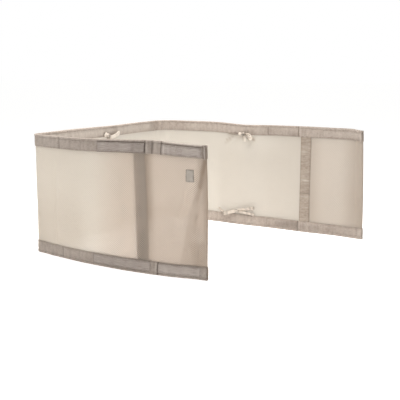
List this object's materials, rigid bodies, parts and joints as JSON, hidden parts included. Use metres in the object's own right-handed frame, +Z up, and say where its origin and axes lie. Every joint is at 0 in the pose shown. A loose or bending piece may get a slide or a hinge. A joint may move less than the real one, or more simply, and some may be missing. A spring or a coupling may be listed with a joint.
{
  "type": "playpen bumper",
  "caption": "Breathable playpen bumper of cream spacer mesh with taupe bindings, ribbon bows and hook-and-loop ends, standing in a U.",
  "frame": {"origin": "centre of the footprint at floor height", "axes": "+Z up; +X along the two long sides towards the open end; +Y from the near long side towards the far one"},
  "size_m": [0.6749, 0.6517, 0.3027],
  "materials": {
    "spacer_mesh": "cream see-through knitted spacer mesh",
    "binding_cloth": "taupe slubbed cotton weave",
    "hook_loop_tape": "taupe woven tape with low pile",
    "ribbon": "cream twill ribbon",
    "label_cloth": "taupe grey damask cloth, bare"
  },
  "bodies": {
    "root": {"mesh_panel": "spacer_mesh", "binding_top": "binding_cloth", "binding_foot": "binding_cloth", "band_near": "binding_cloth", "band_far": "binding_cloth", "tape_near_top_flap": "hook_loop_tape", "tape_near_top_main": "hook_loop_tape", "tape_near_foot_flap": "hook_loop_tape", "tape_near_foot_main": "hook_loop_tape", "tape_far_top_flap": "hook_loop_tape", "tape_far_top_main": "hook_loop_tape", "tape_far_foot_flap": "hook_loop_tape", "tape_far_foot_main": "hook_loop_tape", "label": "label_cloth", "bow_far_top": "ribbon", "bow_far_foot": "ribbon", "bow_side_top": "ribbon", "bow_side_foot": "ribbon"}
  },
  "joints": []
}
